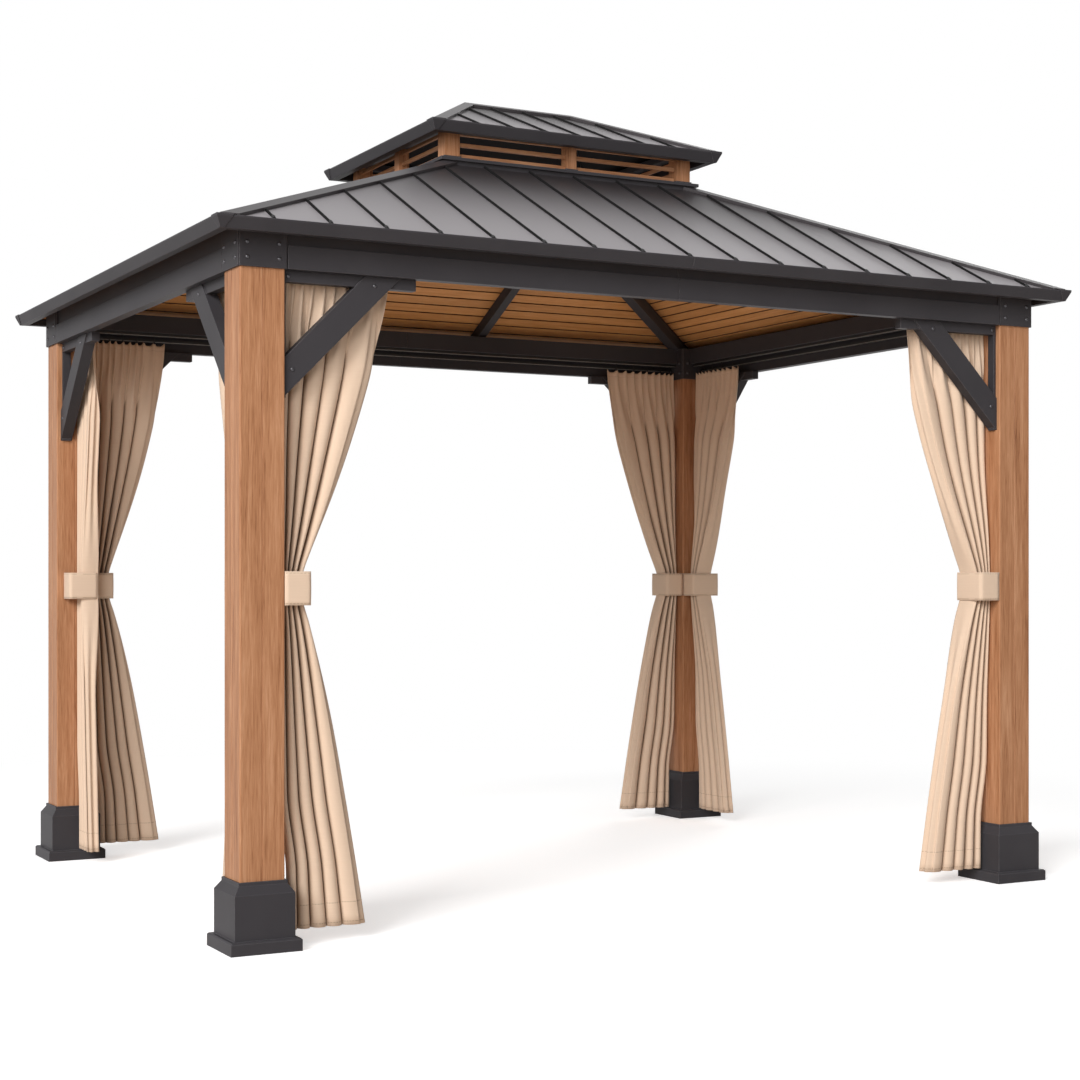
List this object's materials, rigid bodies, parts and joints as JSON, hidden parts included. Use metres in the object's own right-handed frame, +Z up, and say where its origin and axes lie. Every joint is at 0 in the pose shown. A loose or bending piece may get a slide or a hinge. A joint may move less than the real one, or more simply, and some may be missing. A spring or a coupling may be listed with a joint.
{
  "type": "metal gazebo",
  "caption": "Metal hardtop gazebo with wood-grain posts, a ribbed hip roof, a louvred cupola with its own roof, a boarded ceiling and beige curtains tied back to the posts.",
  "frame": {"origin": "on the ground, under the middle of the roof", "axes": "+X along the long front side to the right, +Y from front to back, +Z up"},
  "size_m": [3.5002, 2.7102, 3.1301],
  "materials": {
    "charcoal_metal": "satin powder coat",
    "roof_metal": "satin",
    "wood_grain_coat": "satin, printed wood grain",
    "ceiling_boards": "satin",
    "track_aluminium": "satin",
    "curtain_fabric": "woven"
  },
  "bodies": {
    "root": {"back_beam": "charcoal_metal", "back_curtain_left": "curtain_fabric", "back_curtain_right": "curtain_fabric", "back_gutter": "charcoal_metal", "back_roof_sheet": "roof_metal", "base_cover_back_left": "charcoal_metal", "base_cover_back_right": "charcoal_metal", "base_cover_front_left": "charcoal_metal", "base_cover_front_right": "charcoal_metal", "ceiling_panels": "ceiling_boards", "corner_braces": "charcoal_metal", "corner_brackets": "charcoal_metal", "cupola_caps": "roof_metal", "cupola_corner_covers": "charcoal_metal", "cupola_curb": "charcoal_metal", "cupola_gutter": "charcoal_metal", "cupola_louvres": "wood_grain_coat", "cupola_posts": "wood_grain_coat", "cupola_roof_sheets": "roof_metal", "cupola_top_frame": "charcoal_metal", "curtain_ties": "curtain_fabric", "curtain_tracks": "track_aluminium", "front_beam": "charcoal_metal", "front_curtain_left": "curtain_fabric", "front_curtain_right": "curtain_fabric", "front_gutter": "charcoal_metal", "front_roof_sheet": "roof_metal", "gutter_corner_covers": "charcoal_metal", "hip_caps": "roof_metal", "hip_rafters": "charcoal_metal", "left_beam": "charcoal_metal", "left_curtain_back": "curtain_fabric", "left_curtain_front": "curtain_fabric", "left_gutter": "charcoal_metal", "left_roof_sheet": "roof_metal", "long_side_rafters": "charcoal_metal", "post_back_left": "wood_grain_coat", "post_back_right": "wood_grain_coat", "post_front_left": "wood_grain_coat", "post_front_right": "wood_grain_coat", "right_beam": "charcoal_metal", "right_curtain_back": "curtain_fabric", "right_curtain_front": "curtain_fabric", "right_gutter": "charcoal_metal", "right_roof_sheet": "roof_metal"}
  },
  "joints": []
}
